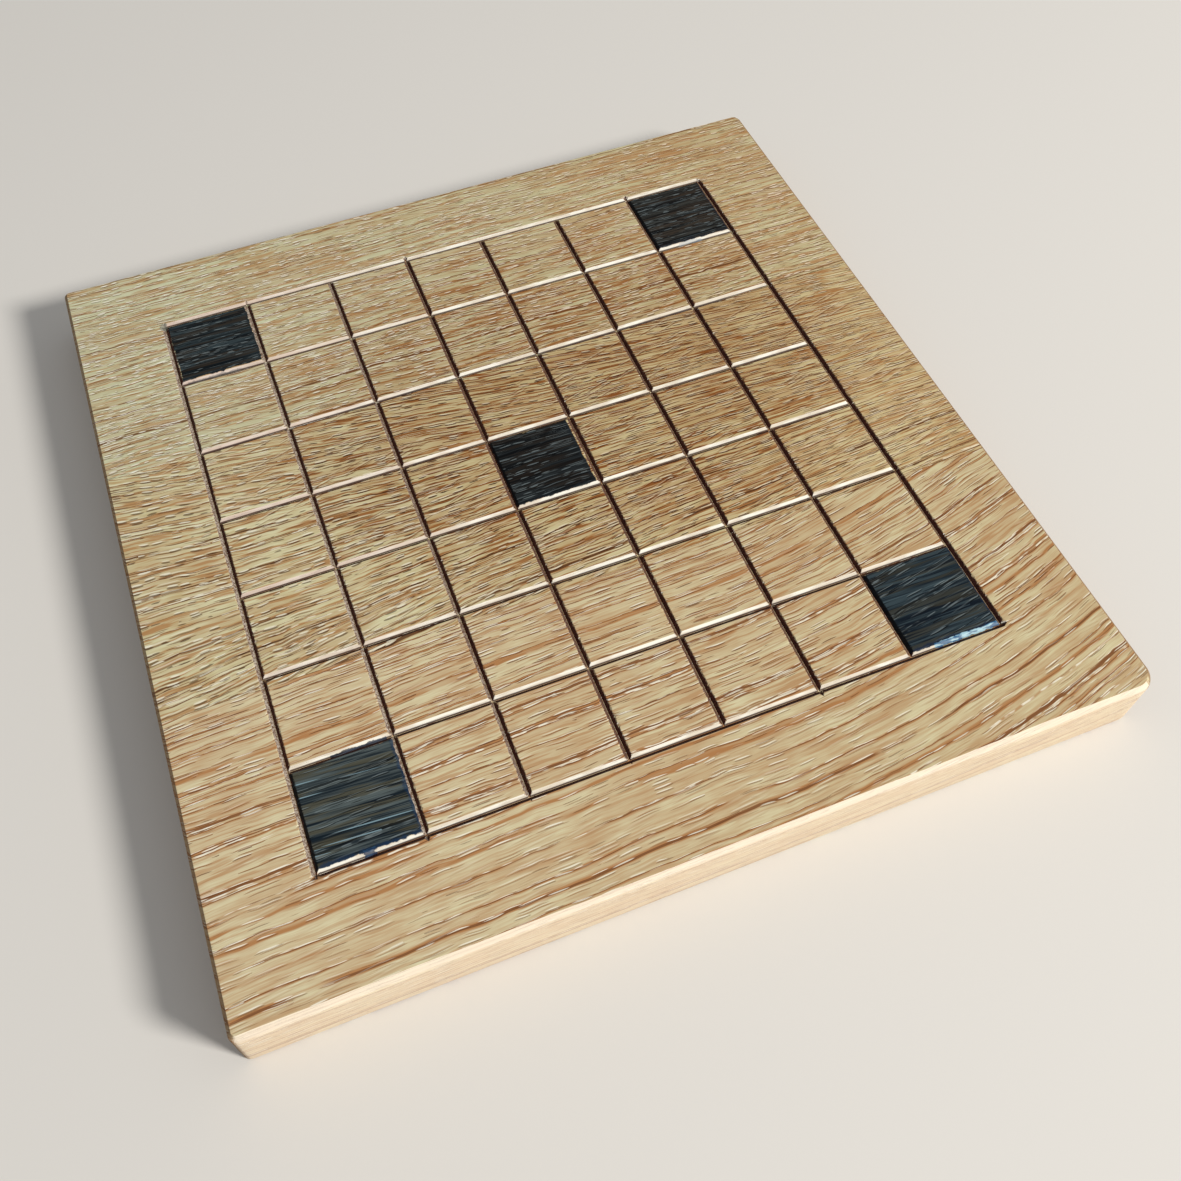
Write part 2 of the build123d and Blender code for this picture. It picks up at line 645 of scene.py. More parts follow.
    def _torn(self, x: Array, y: Array, z: Array) -> tuple[Array, Array]:
        """Frays the lips and walls of the grooves that cut across the grain.

        Args:
            x: Places along the grain.
            y: Places across the grain.
            z: Heights.

        Returns:
            The moved x and z.
        """
        random = np.random.default_rng(self.seed)
        tear = self.tear
        fray = random.uniform(-1.0, 1.0, x.shape)
        bites = random.uniform(0.0, 1.0, x.shape) > tear.bite_from
        dents = random.uniform(0.0, 1.0, x.shape)
        for groove in self.grid.columns():
            offset = x - groove.place(y)
            size = np.abs(offset)
            cut = groove.half_width(y) > 0.5
            lip = cut & (np.abs(size - groove.half) < tear.band)
            wall = cut & (size < groove.half - tear.band) & (size > 0.2)
            x = np.where(lip, x + np.sign(offset) * (tear.fray * fray + tear.bite * bites), x)
            z = np.where(lip, z - tear.dent * dents * (fray > 0.2), z)
            x = np.where(wall, x + tear.wall * fray, x)
            z = np.where(wall, z - tear.wall * (dents - 0.5), z)
        return x, z

    @property
    def face(self) -> float:
        """The height of the planed face, before its unevenness."""
        return self.panel.thickness - self.sunk - self.planed_off

    def _places(self) -> Array:
        """The places of all points of the slice's top, in millimetres.

        Returns:
            An array of rows, points and coordinates.
        """
        x, y = self._crossings(self._x_lines(), self._y_lines())
        low_row, high_row = y[0].copy(), y[-1].copy()
        x = self._drawn_in(x, y, self.grid.columns())
        y = self._drawn_in(y, x, self.grid.rows())
        y[0], y[-1] = low_row, high_row
        planed = 0.012 * Wobble(self.seed + 5, 17.0).at(x) + 0.018 * Wobble(self.seed + 6, 6.0).at(y)
        x, z = self._torn(x, y, self.face + planed - self.grid.depth(x, y))
        x, y = self.panel.rounded(x, y)
        if self.outer_near:
            rim = -self.panel.width / 2 + self.panel.flat_inset(-1)
            share = np.clip(1 - (y - rim) / self.wave_reach, 0.0, 1.0) ** 2
            y = y + share * self._bevel_wave(x)
        return np.stack([x, y, np.minimum(z, self.panel.thickness - self.headroom)], axis=2)

    def _bevel_wave(self, x: Array | float) -> Array:
        """How unevenly the near bevel was planed, along the board."""
        long_wave = Wobble(71, 34.0).at(x)
        short_wave = Wobble(72, 8.0).at(x)
        return self.panel.near_wave * (0.7 * long_wave + 0.3 * short_wave)

    def _rings(self) -> list[EdgeRing]:
        """The profile of the edge, from the flat face down to the underside."""
        thick = self.panel.thickness
        return [
            EdgeRing(0.09, bevel_in=1.0),
            EdgeRing(bevel_in=0.12, bevel_down=0.9),
            EdgeRing(0.3, bevel_down=1.0),
            EdgeRing(0.35 * thick),
            EdgeRing(0.65 * thick),
            EdgeRing(thick - 1.05),
            EdgeRing(thick - 0.58, inset=0.14),
            EdgeRing(thick - 0.15, inset=0.5),
            EdgeRing(thick, inset=0.85),
        ]

    def _place_ring(self, points: list[bmesh.types.BMVert], number: int, ring: EdgeRing) -> None:
        """Moves the points of a new ring onto the edge's profile.

        Args:
            points: The ring's points.
            number: Which ring it is, from 0.
            ring: The ring's place in the profile.
        """
        panel = self.panel
        rim = panel.length / 2 - panel.flat_inset() - 0.02
        thick = panel.thickness
        for point in points:
            x, y = point.co.x / MM, point.co.y / MM
            glued = (not self.outer_near and abs(y - self.low_y) < 0.002) or (
                not self.outer_far and abs(y - self.high_y) < 0.002)
            if glued and abs(x) < rim:
                if number < 3:
                    top = self.face - float(self.grid.depth(np.array([x]), np.array([y]))[0])
                    level = top + (thick - panel.bevel - 0.4 - top) * (number + 1) / 3
                else:
                    level = thick - ring.down
                point.co.z = level * MM
                continue
            foot, ray, reach = panel.outward(x, y)
            towards_near = max(0.0, -ray.y)
            wave = float(self._bevel_wave(x)) * towards_near
            bevel = panel.bevel + (panel.near_bevel - panel.bevel) * towards_near + wave
            place = foot + ray * (reach - bevel * ring.bevel_in - ring.inset)
            if glued:
                place.y = y
            point.co = Vector((place.x, place.y, thick - bevel * ring.bevel_down - ring.down)) * MM

    def build(self) -> bpy.types.Object:
        """Models the slice: a grid drawn onto the grooves, and its edge extruded down round it.

        Returns:
            The finished object, closed, with its place in its mesh.
        """
        places = self._places()
        rows, points = places.shape[:2]
        bpy.ops.object.select_all(action="DESELECT")
        middle = (0.0, (self.low_y + self.high_y) / 2 * MM, self.panel.thickness * MM)
        bpy.ops.mesh.primitive_grid_add(x_subdivisions=points - 1, y_subdivisions=rows - 1,
                                        size=self.panel.length * MM, location=middle)
        piece = bpy.context.object
        piece.name = piece.data.name = self.name
        bpy.ops.object.transform_apply(location=True, rotation=False, scale=False)
        piece.data.vertices.foreach_set("co", (places * MM).reshape(-1).astype(np.float32))
        piece.data.update()
        self._extrude_edge(piece)
        bpy.ops.object.shade_smooth_by_angle(angle=math.radians(self.smooth_degrees))
        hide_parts(self.node)
        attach(piece, "root")
        return piece

    def _extrude_edge(self, piece: bpy.types.Object) -> None:
        """Extrudes the rim down ring by ring, closes the underside and turns all faces outward."""
        bpy.ops.object.mode_set(mode="EDIT")
        bpy.ops.mesh.select_mode(type="EDGE")
        bpy.ops.mesh.select_all(action="SELECT")
        bpy.ops.mesh.region_to_loop()
        for number, ring in enumerate(self._rings()):
            bpy.ops.mesh.extrude_edges_move(TRANSFORM_OT_translate={"value": (0.0, 0.0, -0.1 * MM)})
            shape = bmesh.from_edit_mesh(piece.data)
            self._place_ring([point for point in shape.verts if point.select], number, ring)
            bmesh.update_edit_mesh(piece.data)
        bpy.ops.mesh.edge_face_add()
        bpy.ops.mesh.select_all(action="SELECT")
        bpy.ops.mesh.normals_make_consistent(inside=False)
        bpy.ops.object.mode_set(mode="OBJECT")


@dataclass(frozen=True)
class Spot:
    """Where a material is read: its Object coordinates in millimetres and the depth below the face."""

    graph: Graph
    place: Wire
    x: Wire
    y: Wire
    z: Wire
    depth: Wire

    @staticmethod
    def read(graph: Graph, top: float) -> "Spot":
        """Reads the coordinates, with the playing face at the height top."""
        place = graph.place()
        x, y, z = graph.split(place)
        return Spot(graph, place, x, y, z, top - z)


@dataclass(frozen=True)
class Dashes:
    """Dark dashes along the grain, such as open pores, and the light that their far walls catch.

    Each cell of this length and width may hold one dash, thinner in it as thin grows.
    """

    length: float
    width: float
    thin: float
    shift: float

    def drawn(self, flow: Wire, chance_more: Wire | float) -> tuple[Wire, Wire]:
        """Draws the dashes.

        Args:
            flow: The place, bent so that the grain runs straight.
            chance_more: The share of the cells that hold a dash.

        Returns:
            The dark dashes, and the painted highlights beside them.
        """
        graph = flow.graph
        scale = (1 / self.length, 1 / self.width, 1 / self.width)
        place = graph.scaled(flow, scale, (self.shift, 0.3, 0.7))
        settings = {"voronoi_dimensions": "3D", "feature": "F1"}
        values = {"Vector": place, "Scale": 1.0, "Randomness": 1.0}
        centre = graph.node("ShaderNodeTexVoronoi", settings, values, "Position")
        chance, size, pale = graph.split(centre.beside("Color"))
        offset = graph.node("ShaderNodeVectorMath", {"operation": "SUBTRACT"}, {0: place, 1: centre})
        along, across, up = graph.split(offset)
        kept = (chance + chance_more).rise(0.94, 1.0)
        body = along * along * (7.0 - size * 4.0) + up * up * 1.6
        dark = (body + (across + 0.10) ** 2 * self.thin).rise(1.0, 0.6)
        # Painted highlight: a pale dash on the far side of each pore, where its wall would catch the key
        # light
        light = (body * 1.15 + (across - 0.24) ** 2 * (self.thin * 1.2)).rise(1.0, 0.5)
        return dark * kept, light * kept * pale.rise(0.15, 0.4)


class Square(Enum):
    """The stained squares, by the numbers of the column and the row that each stands in."""

    NEAR_LEFT = (0, 0)
    NEAR_RIGHT = (6, 0)
    CENTRE = (3, 3)
    FAR_LEFT = (0, 6)
    FAR_RIGHT = (6, 6)


@dataclass(frozen=True)
class Stain:
    """How one square took the dark stain.

    spread is how far the stain runs past the left, right, near and far lip, in millimetres. lines
    is the strength of its long light lines, and lean is their slope.
    """

    square: Square
    deep: Colour
    pale: Colour
    wash: Colour
    share: float
    spread: tuple[float, float, float, float]
    ragged: float = 0.5
    lines: float = 0.1
    lean: float = 0.0
    fringe: Colour = (0.01, 0.015, 0.02)

    def edges(self, grid: Grid) -> tuple[float, float, float, float]:
        """The left, right, near and far border of the stain in its square of the grid."""
        column, row = self.square.value
        middle_x = grid.ruled(column, grid.shift_x) + grid.pitch / 2
        middle_y = grid.ruled(row, grid.shift_y) + grid.pitch / 2
        left, right = (float(groove.place(middle_y)) for groove in grid.columns()[column:column + 2])
        near, far = (float(groove.place(middle_x)) for groove in grid.rows()[row:row + 2])
        lip, spread = grid.groove_half, self.spread
        return left + lip - spread[0], right - lip + spread[1], near + lip - spread[2], far - lip + spread[3]

    def cover(self, spot: Spot, grid: Grid) -> tuple[Wire, Wire]:
        """Where the stain covers the wood, with an edge that strays as a brush does.

        Args:
            spot: Where the material is read.
            grid: The grid that the square is part of.

        Returns:
            1 on the stain and 0 off it, and 1 only where the stain pooled along its borders.
        """
        left, right, near, far = self.edges(grid)
        half_x, half_y = (right - left) / 2, (far - near) / 2
        stray = spot.graph.noise(spot.place, SMEAR_WAVE, left, 3.0, 0.6) - 0.5
        side = abs(spot.x - (left + right) / 2) / half_x
        end = abs(spot.y - (near + far) / 2) / half_y
        reach = side.at_least(end) + stray * (self.ragged * 2.4 / half_x)
        along_near = (spot.y + stray * 3.0).rise(near + 1.4, near + 0.4)
        along_right = (spot.x + stray * 3.0).rise(right - 1.3, right - 0.4)
        return reach.rise(1.008, 0.99), along_near.at_least(along_right * 0.8)


@dataclass(frozen=True)
class Ink:
    """A smear of wet stain on the wall of a row: where it lies along, in squares, and its two tones.

    rise is where it lies across, in millimetres from the groove's middle line.
    """

    row: int
    along: Span
    rise: Span
    dark: Colour
    light: Colour
    strength: float = 0.85

    def laid(self, spot: Spot, grid: Grid, colour: Wire) -> Wire:
        """Lays the smear over a colour.

        Args:
            spot: Where the material is read.
            grid: The grid that the row is part of.
            colour: The colour without the smear.

        Returns:
            The colour with the smear.
        """
        graph = spot.graph
        low, high = (grid.ruled(0, grid.shift_x) + place * grid.pitch for place in self.along)
        centre = float(grid.rows()[self.row].place((low + high) / 2))
        stray = graph.noise(spot.place, SMEAR_WAVE, low, 3.0, 0.6) - 0.5
        tone = graph.noise(spot.place, (1 / 0.35, 1 / 1.4), high).rise(0.42, 0.58)
        along = (spot.x + stray * 5.0).window(low, high, 0.4)
        across = (spot.y + stray * 1.2).window(centre + self.rise[0], centre + self.rise[1], 0.12)
        return graph.mix(along * across * self.strength, colour, graph.mix(tone, self.dark, self.light))


@dataclass(frozen=True)
class OakTones:
    """The colours of one stave: its wood from pale to dark, its pores, and the painted highlights by them."""

    pale: Colour
    tan: Colour
    streak: Colour
    hair: Colour
    line: Colour
    glint: Colour


@dataclass(frozen=True)
class CutTones:
    """The colours of cut wood: the groove walls by the way they face, then the board's edges. The walls that
    face the key light are pale, partly as newly cut wood and partly as painted light, and those that face
    away carry painted shade.
    """

    # Walls facing the near side: newly cut wood, made paler as painted light
    fresh_and_lit: tuple[Colour, Colour] = (srgb(224, 213, 194), srgb(244, 240, 226))
    pinkish: Colour = srgb(204, 178, 164)
    # Walls facing the far side, and low down on the near-facing walls: painted shade
    shaded: tuple[Colour, Colour] = (srgb(70, 34, 24), srgb(46, 20, 14))
    # Walls facing right: frayed end grain, made paler as painted light
    torn_and_lit: tuple[Colour, Colour] = (srgb(112, 88, 72), srgb(182, 170, 156))
    # What the right-facing walls darken to towards the board's right
    torn_right: Colour = srgb(86, 53, 40)
    # Walls facing left: painted shade
    deep: tuple[Colour, Colour] = (srgb(58, 28, 22), srgb(92, 52, 40))
    # The paler bevel and long sides: partly planed wood, partly painted light
    bevel: Colour = srgb(240, 227, 206)
    end_grain: Colour = srgb(122, 88, 58)
    long_side: Colour = srgb(244, 227, 204)


@dataclass(frozen=True)
class Grain:
    """What the stain shows of the wood under it: the fibres' tone, the painted highlights and the dark marks.
    """

    tone: Wire
    gleam: Wire
    dark: Wire


@dataclass(frozen=True)
class OakFinish:
    """The oak of one stave: how its grain runs, how strongly it shows, and the stain on its squares.

    The ring sizes, bend, ripple and shiver are in millimetres. The worn middle and its reach place
    the handled area, and the margin is where the near side's grain turns quieter.
    """

    name: str
    tones: OakTones
    middle_y: float
    seed: float
    ring_width: float
    ring_height: float
    ring_closing: float = 0.0
    stave_half: float = 45.0
    bend: float = 4.5
    ripple: float = 1.3
    shiver: float = 0.5
    fan: float = 0.0
    fan_y: float = 0.0
    slope: float = 0.0
    sweep: float = 0.0
    sweep_from: float = 0.0
    fibre: float = 2.0
    bloom: float = 1.0
    streak: float = 1.0
    deepened: float = 0.5
    drift: float = 0.34
    seam: float = 0.8
    hair: float = 0.9
    hairs: float = 0.7
    hair_length: float = 12.0
    lit_hair: float = 0.5
    slant: float = 0.3
    slant_strength: float = 0.75
    pore_length: float = 5.0
    pore_width: float = 1.1
    pores: float = 0.25
    ring_pores: float = 0.65
    pore_strength: float = 0.95
    glint_strength: float = 0.95
    worn: float = 0.35
    worn_middle: Span = (18.0, 26.0)
    worn_reach: Span = (105.0, 78.0)
    margin: Span = (-98.0, -106.0)
    margin_calm: float = 0.4
    calm: float = 0.3
    # Painted sheen: the wood takes this tint more and more towards the right, so its left end looks paler and
    # greyer
    sheen_fade_tint: Colour = (0.94, 0.84, 0.74)
    cut: CutTones = CutTones()
    stains: tuple[Stain, ...] = ()
    inks: tuple[Ink, ...] = ()

    def _noise(self, place: Wire, wave: Span, shift: float, detail: float = 2.0,
               roughness: float = 0.5) -> Wire:
        """The graph's noise, moved to a stretch of this stave's own."""
        return place.graph.noise(place, wave, self.seed + shift, detail, roughness)

    def _flow(self, spot: Spot) -> tuple[Wire, Wire]:
        """Bends the place so that the grain runs straight in it.

        Args:
            spot: Where the material is read.

        Returns:
            The bent place as a vector, leaning so that the long sides show lines too, and its
            part across the grain.
        """
        from_middle = spot.y - self.middle_y
        past = (spot.x - self.sweep_from).at_least(0.0)
        across = from_middle + (from_middle - self.fan_y) * spot.x * self.fan - spot.x * self.slope
        across = across - past * past * (self.sweep / 2)
        bend = self._noise(spot.place, (80, 34), 0, 1.0) - 0.5
        ripple = self._noise(spot.place, (20, 11), 7, 1.0) - 0.5
        shiver = self._noise(spot.place, (5, 4), 8, 0.0) - 0.5
        across = across + bend * self.bend + ripple * self.ripple + shiver * self.shiver
        return spot.graph.vector(spot.x, across - spot.depth, spot.z), across

    def _rings(self, spot: Spot, across: Wire) -> Wire:
        """How far through its year each place grew, from 0 to 1, counted across the stave."""
        from_near = (across + self.stave_half).at_least(0.0)
        years = across / self.ring_width + from_near * from_near * self.ring_closing
        years = years - spot.depth / self.ring_height
        values = {"W": years * 0.6, "Detail": 0.0}
        uneven = spot.graph.node("ShaderNodeTexNoise", {"noise_dimensions": "1D"}, values)
        return (years + uneven * 1.4).fraction()

    def _handled(self, spot: Spot) -> Wire:
        """1 in the middle of the board, where hands and pieces darkened it, fading out round it."""
        u = (spot.x - self.worn_middle[0]) / self.worn_reach[0]
        v = (spot.y - self.worn_middle[1]) / self.worn_reach[1]
        return (u ** 2 + v ** 2).rise(1.3, 0.2)

    def _hairs(self, spot: Spot, flow: Wire) -> tuple[tuple[Wire, Wire], tuple[Wire, Wire]]:
        """Long thin lines along the grain, and in some regions others that slant across it.

        Args:
            spot: Where the material is read.
            flow: The place with the grain straight.

        Returns:
            The dark and the lit hairs, and the dark and the lit slanted ones.
        """
        straight = Dashes(self.hair_length, 1.25, 34.0, self.seed + 5).drawn(flow, self.hairs)
        bias = spot.graph.vector(spot.x, spot.y - spot.x * self.slant - spot.depth, spot.z)
        dark, lit = Dashes(15.0, 1.5, 44.0, self.seed + 11).drawn(bias, 0.5)
        region = self._noise(flow, (60, 18), 33, 0.0).rise(0.44, 0.56)
        return straight, (dark * region, lit * region)

    def _wood(self, spot: Spot) -> tuple[Wire, Grain]:
        """The bare planed oak.

        Args:
            spot: Where the material is read.

        Returns:
            Its colour, and its grain.
        """
        graph, tones = spot.graph, self.tones
        flow, across = self._flow(spot)
        ring = self._rings(spot, across)
        handled = self._handled(spot)
        quiet = 1.0 - spot.y.rise(*self.margin) * self.margin_calm
        warm_shows = handled * self.calm + (1.0 - self.calm)
        shows = warm_shows * quiet
        mottle = self._noise(spot.place, (9, 7), 1)
        fibre = self._noise(flow, (12, 0.55), 3, 2.0, 0.6)
        tone = ((mottle - 0.5) * 1.3 + (fibre - 0.5) * self.fibre + 0.6).clamped()
        patch = self._noise(flow, (30, 5), 4)
        whole = patch.rise(0.34, 0.46)
        bloom = (ring.rise(0.62, 1.0) ** 1.3 + ring.rise(0.16, 0.0) * 0.7).clamped() * patch.rise(0.30, 0.52)
        streak = self._noise(flow, (18, 0.8), 2)
        warm = (bloom * self.bloom + streak.rise(0.48, 0.40) * quiet * self.streak).clamped()
        drift = self._noise(flow, (38, 5), 12, 3.0, 0.55).rise(0.40, 0.64)
        seam = (ring.rise(0.93, 0.97) + ring.rise(0.035, 0.0)).clamped() * whole
        (hairs, lit_hairs), (slanted, lit_slanted) = self._hairs(spot, flow)
        spring = (ring.rise(0.8, 0.98) + ring.rise(0.22, 0.0)).clamped() * self.ring_pores
        pores = Dashes(self.pore_length, self.pore_width, 17.0, self.seed)
        dark, light = pores.drawn(flow, spring + self.pores)
        sparkle = self._noise(flow, (4, 1.5), 5, 1.0).rise(0.44, 0.6)
        seam_light = ring.rise(0.025, 0.045) * ring.rise(0.10, 0.06) * whole * sparkle
        # Painted highlights: pale flecks beside the pores, hairs, slanted hairs and ring seams, where the key
        # light would glint
        gleam = light * 0.8 + lit_hairs * self.lit_hair + lit_slanted * self.slant_strength * 0.5 + seam_light
        gleam = gleam.clamped() * self.glint_strength
        colour = graph.layered(
            graph.mix(tone, tones.tan, tones.pale),
            (drift * self.drift, tones.streak),
            (warm * warm_shows, tones.streak),
            (streak.rise(0.46, 0.38) * handled * self.deepened, tones.hair),
            (seam * self.seam, tones.line),
            (hairs * shows * self.hair, tones.hair),
            (slanted * shows * self.slant_strength, tones.hair),
            (dark * shows * self.pore_strength, tones.line),
            (gleam, tones.glint))
        colour = graph.mix(handled * self.worn, colour, HANDLED_TINT, "MULTIPLY")
        # Painted sheen: paler and greyer towards the left, warmer and darker towards the right
        colour = graph.mix(spot.x.rise(-130.0, 125.0), colour, self.sheen_fade_tint, "MULTIPLY")
        return colour, Grain(tone, gleam, (dark + hairs * 0.6 + seam).clamped())

    def _stained(self, spot: Spot, grid: Grid, wood: Wire, grain: Grain) -> Wire:
        """Lays the stain over the stained squares, with the grain showing through.

        Args:
            spot: Where the material is read.
            grid: The grid, which places the stains.
            wood: The bare wood's colour.
            grain: Its grain.

        Returns:
            The colour with the stains.
        """
        graph, colour = spot.graph, wood
        for stain in self.stains:
            cover, pooled = stain.cover(spot, grid)
            along = graph.vector(spot.x, spot.y + spot.x * stain.lean, spot.z)
            band = self._noise(along, (60, 1.8), 51, 3.0, 0.65)
            fine = self._noise(along, (30, 0.7), 52, 2.0, 0.6)
            washed = self._noise(along, (40, 2.2), 53)
            lines, _ = Dashes(26.0, 3.2, 220.0, self.seed + 54).drawn(along, 0.35)
            past_lip = stain.edges(grid)[0] + stain.spread[0]
            inked = graph.layered(
                graph.mix((band.rise(0.34, 0.62) + stain.share - 0.3).clamped(), stain.deep, stain.pale),
                (washed.rise(0.47, 0.56) * 0.7, stain.wash),
                (fine.rise(0.48, 0.38) * 0.85, stain.deep),
                (grain.dark * 0.8, INKED_PORE),
                (lines * stain.lines, srgb(132, 160, 170)),
                # Painted highlights: the wood's glints show through the stain as grey flecks
                (grain.gleam * 0.6, srgb(128, 140, 142)),
                (pooled * 0.75, stain.fringe),
                (spot.x.rise(past_lip, past_lip - 0.25) * 0.9, INKED_LIP))
            colour = graph.mix(cover, colour, inked)
        for ink in self.inks:
            colour = ink.laid(spot, grid, colour)
        return colour

    def _walls(self, spot: Spot, colour: Wire) -> Wire:
        """Colours the groove walls by the way they face: the walls that face the near side and the right are
        pale, partly as newly cut and frayed wood and partly as painted light; those that face the far side
        and the left, and the lower part of the near-facing walls, carry painted shade.
        """
        graph, tones = spot.graph, self.cut
        right, far, _ = graph.facing()
        inside = abs(spot.x).rise(RIM + 0.2, RIM - 0.2) * abs(spot.y).rise(RIM + 0.2, RIM - 0.2)
        # Painted shade: the lower part of the walls that face the near side, where the near lip would shadow
        # them
        floor = spot.depth.rise(0.70, 0.92) * inside
        cut = spot.depth.rise(0.12, 0.24) * inside
        clean_cut = spot.depth.rise(0.04, 0.10) * inside
        speck = self._noise(spot.place, (0.625, 0.625), 61, 2.0, 0.7)
        drift = self._noise(spot.place, (9, 2), 62)
        pinkish = spot.x.rise(0.0, -100.0) * spot.y.rise(-75.0, -10.0)
        # Painted shade for the walls that face the far side and for the lower near-facing walls
        shaded = graph.mix(drift, *tones.shaded)
        # Painted light on the walls that face the near side, with painted shade low down
        fresh_and_lit = graph.layered(graph.mix(drift.rise(0.4, 0.6), *tones.fresh_and_lit),
                              (pinkish * 0.65, tones.pinkish), (floor * 0.92, shaded))
        # Painted light on the walls that face right, over frayed end grain; darker towards the board's right
        torn_and_lit = graph.mix(speck.rise(0.40, 0.62), *tones.torn_and_lit)
        torn_and_lit = graph.mix(spot.x.rise(-75.0, -10.0) * 0.85, torn_and_lit, tones.torn_right)
        # Painted shade on the walls that face left
        deep = graph.mix(speck.rise(0.35, 0.7), *tones.deep)
        return graph.layered(
            colour, (clean_cut * far.rise(-0.35, -0.5), fresh_and_lit), (clean_cut * far.rise(0.35, 0.5), shaded),
            (cut * right.rise(0.45, 0.6), torn_and_lit), (cut * right.rise(-0.45, -0.6), deep))

    def _edges(self, spot: Spot, colour: Wire) -> Wire:
        """Pales the planed bevel and the long sides, partly as planed wood and partly as painted light, and
        darkens the end grain.
        """
        right, far, up = spot.graph.facing()
        outside = abs(spot.x).rise(RIM + 0.2, RIM + 0.8) + abs(spot.y).rise(RIM + 0.2, RIM + 0.8)
        outside = outside.clamped()
        bevel = outside * up.rise(0.97, 0.85) * up.rise(0.25, 0.5) * abs(right).rise(0.45, 0.25)
        cut_across = outside * abs(right).rise(0.3, 0.5) * up.rise(0.995, 0.97)
        long_side = outside * abs(far).rise(0.8, 0.95)
        tones = self.cut
        return spot.graph.layered(colour, (bevel * 0.8, tones.bevel), (cut_across * 0.7, tones.end_grain),
                                  (long_side * 0.5, tones.long_side))

    def build(self, grid: Grid, top: float) -> bpy.types.Material:
        """Makes the material.

        Args:
            grid: The grid, which places the stain.
            top: The height of the playing face.

        Returns:
            The finished material.
        """
        graph = Graph(self.name)
        spot = Spot.read(graph, top)
        wood, grain = self._wood(spot)
        colour = self._edges(spot, self._walls(spot, wood))
        colour = self._stained(spot, grid, colour, grain)
        height = grain.tone * 0.05 - grain.dark * 0.12
        normal = graph.node("ShaderNodeBump", {}, {"Strength": 0.6, "Distance": MM, "Height": height})
        return graph.finish(colour, 0.62 - grain.tone * 0.12, normal, 0.12)


@dataclass(frozen=True)
class GlueFinish:
    """Dried glue in a joint: a thin brown line with paler crumbs."""

    name: str = "dried_glue"

    def build(self) -> bpy.types.Material:
        """Makes the material."""
        graph = Graph(self.name)
        crumbs = graph.noise(graph.place(), (1 / 0.7, 1 / 0.7), 3.0, 3.0, 0.6)
        colour = graph.mix(crumbs.rise(0.35, 0.65), srgb(112, 80, 50), srgb(160, 126, 86))
        return graph.finish(colour, 0.5)


@dataclass(frozen=True)
class Studio:
    """The pale floor, the soft light and the camera."""

    eye: Place = (-87.0, -225.9, 352.0)
    aim: Place = (-9.1, 0.0, 21.0)
    roll_degrees: float = -1.8
    lens: float = 38.28
    sensor: float = 36.0
    shift: Span = (0.060, -0.100)
    key_azimuth: float = 45.0
    key_elevation: float = 35.0
    key_distance: float = 3.0
    key_size: float = 0.7
    key_watts: float = 96.0
    key_colour: Colour = (1.0, 0.97, 0.93)
    sky_colour: Colour = (0.97, 0.98, 1.0)
    sky_strength: float = 0.36
    floor_roughness: float = 0.8

    def place_camera(self) -> None:
        """Adds the camera at the angle that the board is seen from."""
        bpy.ops.object.camera_add()
        camera = bpy.context.object
        eye, aim = Vector(self.eye) * MM, Vector(self.aim) * MM
        turn = (aim - eye).to_track_quat("-Z", "Y").to_matrix().to_4x4()
        roll = Matrix.Rotation(math.radians(self.roll_degrees), 4, "Z")
        camera.matrix_world = Matrix.Translation(eye) @ turn @ roll
        camera.data.lens = self.lens
        camera.data.sensor_width = self.sensor
        camera.data.shift_x, camera.data.shift_y = self.shift
        camera.data.clip_start = 0.01
        bpy.context.scene.camera = camera

    def lay_floor(self) -> None:
        """Lays the plain pale floor under the board."""
        bpy.ops.mesh.primitive_plane_add(size=6.0, location=(0.0, 0.0, -0.02 * MM))
        floor = bpy.context.object
        floor.name = "floor"
        floor.data.materials.append(Graph("floor_paint").finish(srgb(222, 219, 213), self.floor_roughness))
        floor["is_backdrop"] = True

    def light(self) -> None:
        """Sets a soft key light low on the near right, and a pale sky all round."""
        azimuth, elevation = math.radians(self.key_azimuth), math.radians(self.key_elevation)
        towards = Vector((math.sin(azimuth) * math.cos(elevation), -math.cos(azimuth) * math.cos(elevation),
                          math.sin(elevation)))
        bpy.ops.object.light_add(type="AREA", location=towards * self.key_distance)
        key = bpy.context.object
        key.name = "key_light"
        key.rotation_mode = "QUATERNION"
        key.rotation_quaternion = (-towards).to_track_quat("-Z", "Y")
        key.data.shape = "DISK"
        key.data.size = self.key_size
        key.data.energy = self.key_watts
        key.data.color = self.key_colour
        world = bpy.data.worlds.new("studio_sky")
        world.use_nodes = True
        background = world.node_tree.nodes["Background"]
        background.inputs["Color"].default_value = (*self.sky_colour, 1.0)
        background.inputs["Strength"].default_value = self.sky_strength
        bpy.context.scene.world = world

    def build(self) -> None:
        """Sets up everything round the object."""
        self.place_camera()
        self.lay_floor()
        self.light()
        bpy.context.scene.view_settings.view_transform = "Standard"


